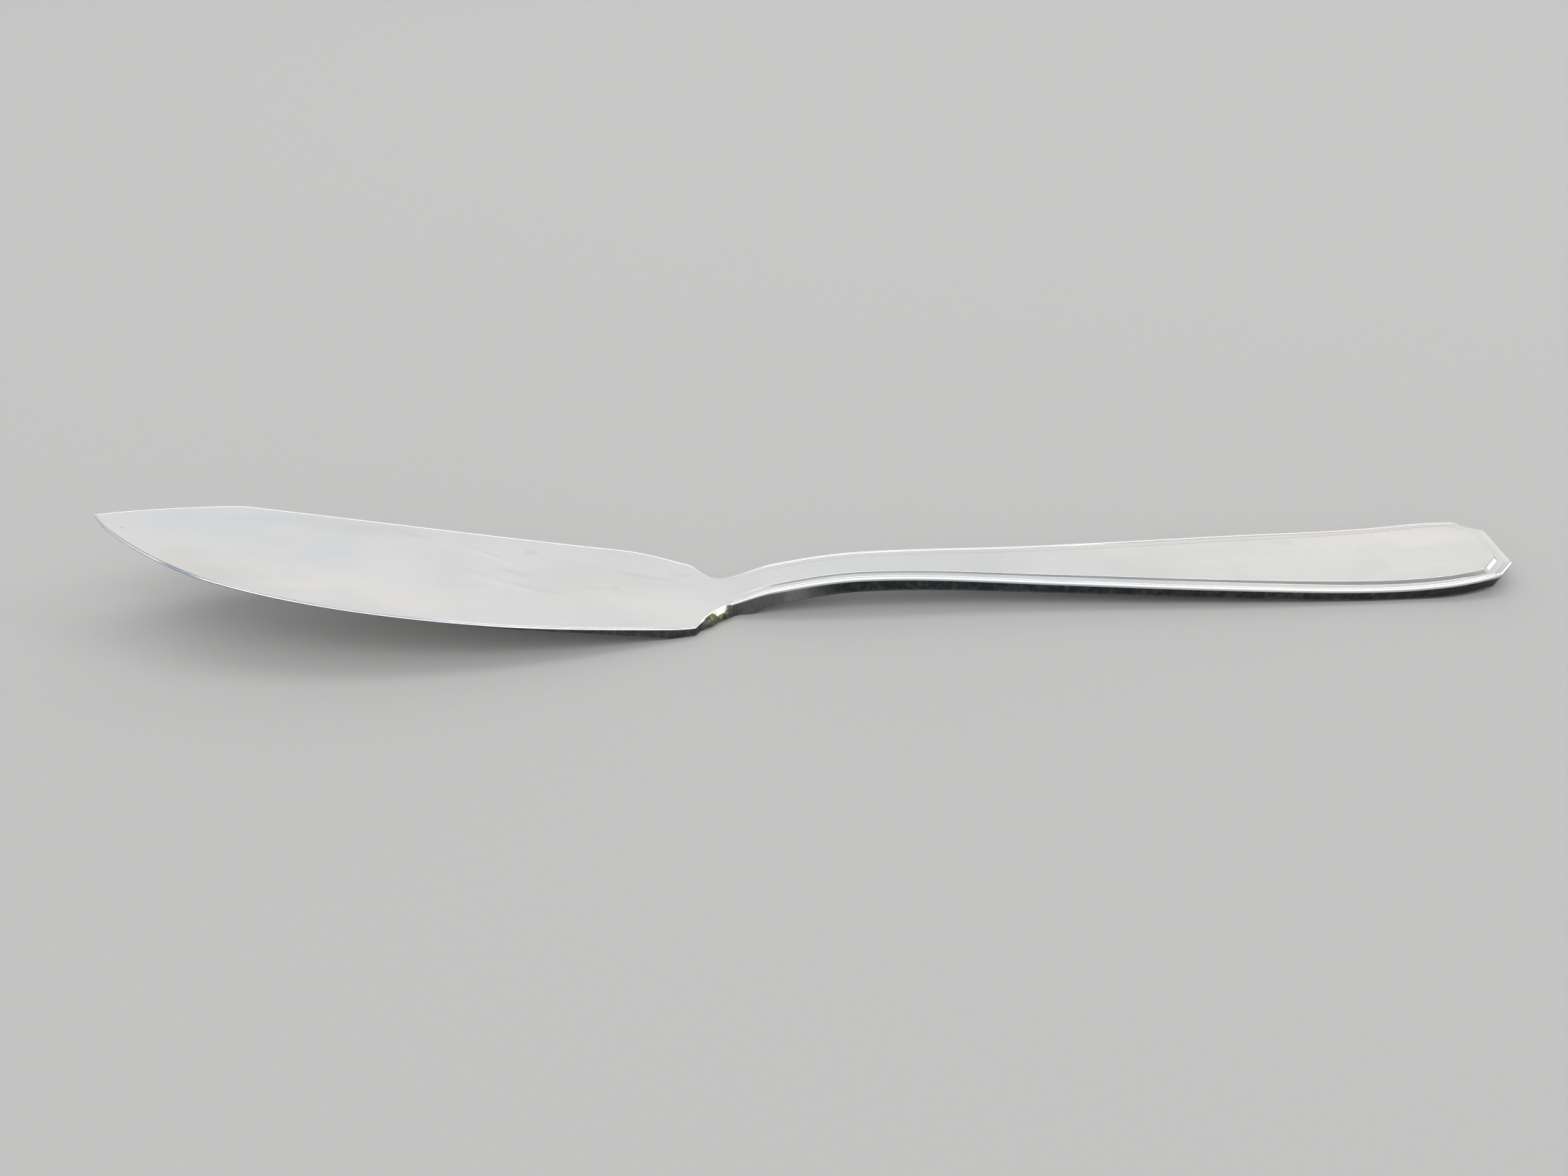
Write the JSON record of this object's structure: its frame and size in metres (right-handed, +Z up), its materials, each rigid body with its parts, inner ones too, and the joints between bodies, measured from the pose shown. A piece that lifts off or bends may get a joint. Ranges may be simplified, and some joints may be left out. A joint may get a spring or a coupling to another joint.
{
  "type": "fish knife",
  "caption": "Silver-plated fish knife with a clipped point, a cranked neck and a stepped border round a clipped-corner handle.",
  "frame": {"origin": "bottom centre of the knife's box, on the table, at mid length and mid width", "axes": "+X along the knife towards the end of the handle, +Y towards the spine, +Z up from the table"},
  "size_m": [0.2038, 0.0229, 0.0151],
  "materials": {
    "silver_plate_blade": "polished",
    "silver_plate_handle": "polished",
    "hard_solder": "rough cast"
  },
  "bodies": {
    "root": {"blade": "silver_plate_blade", "handle": "silver_plate_handle", "solder_bead": "hard_solder"}
  },
  "joints": []
}
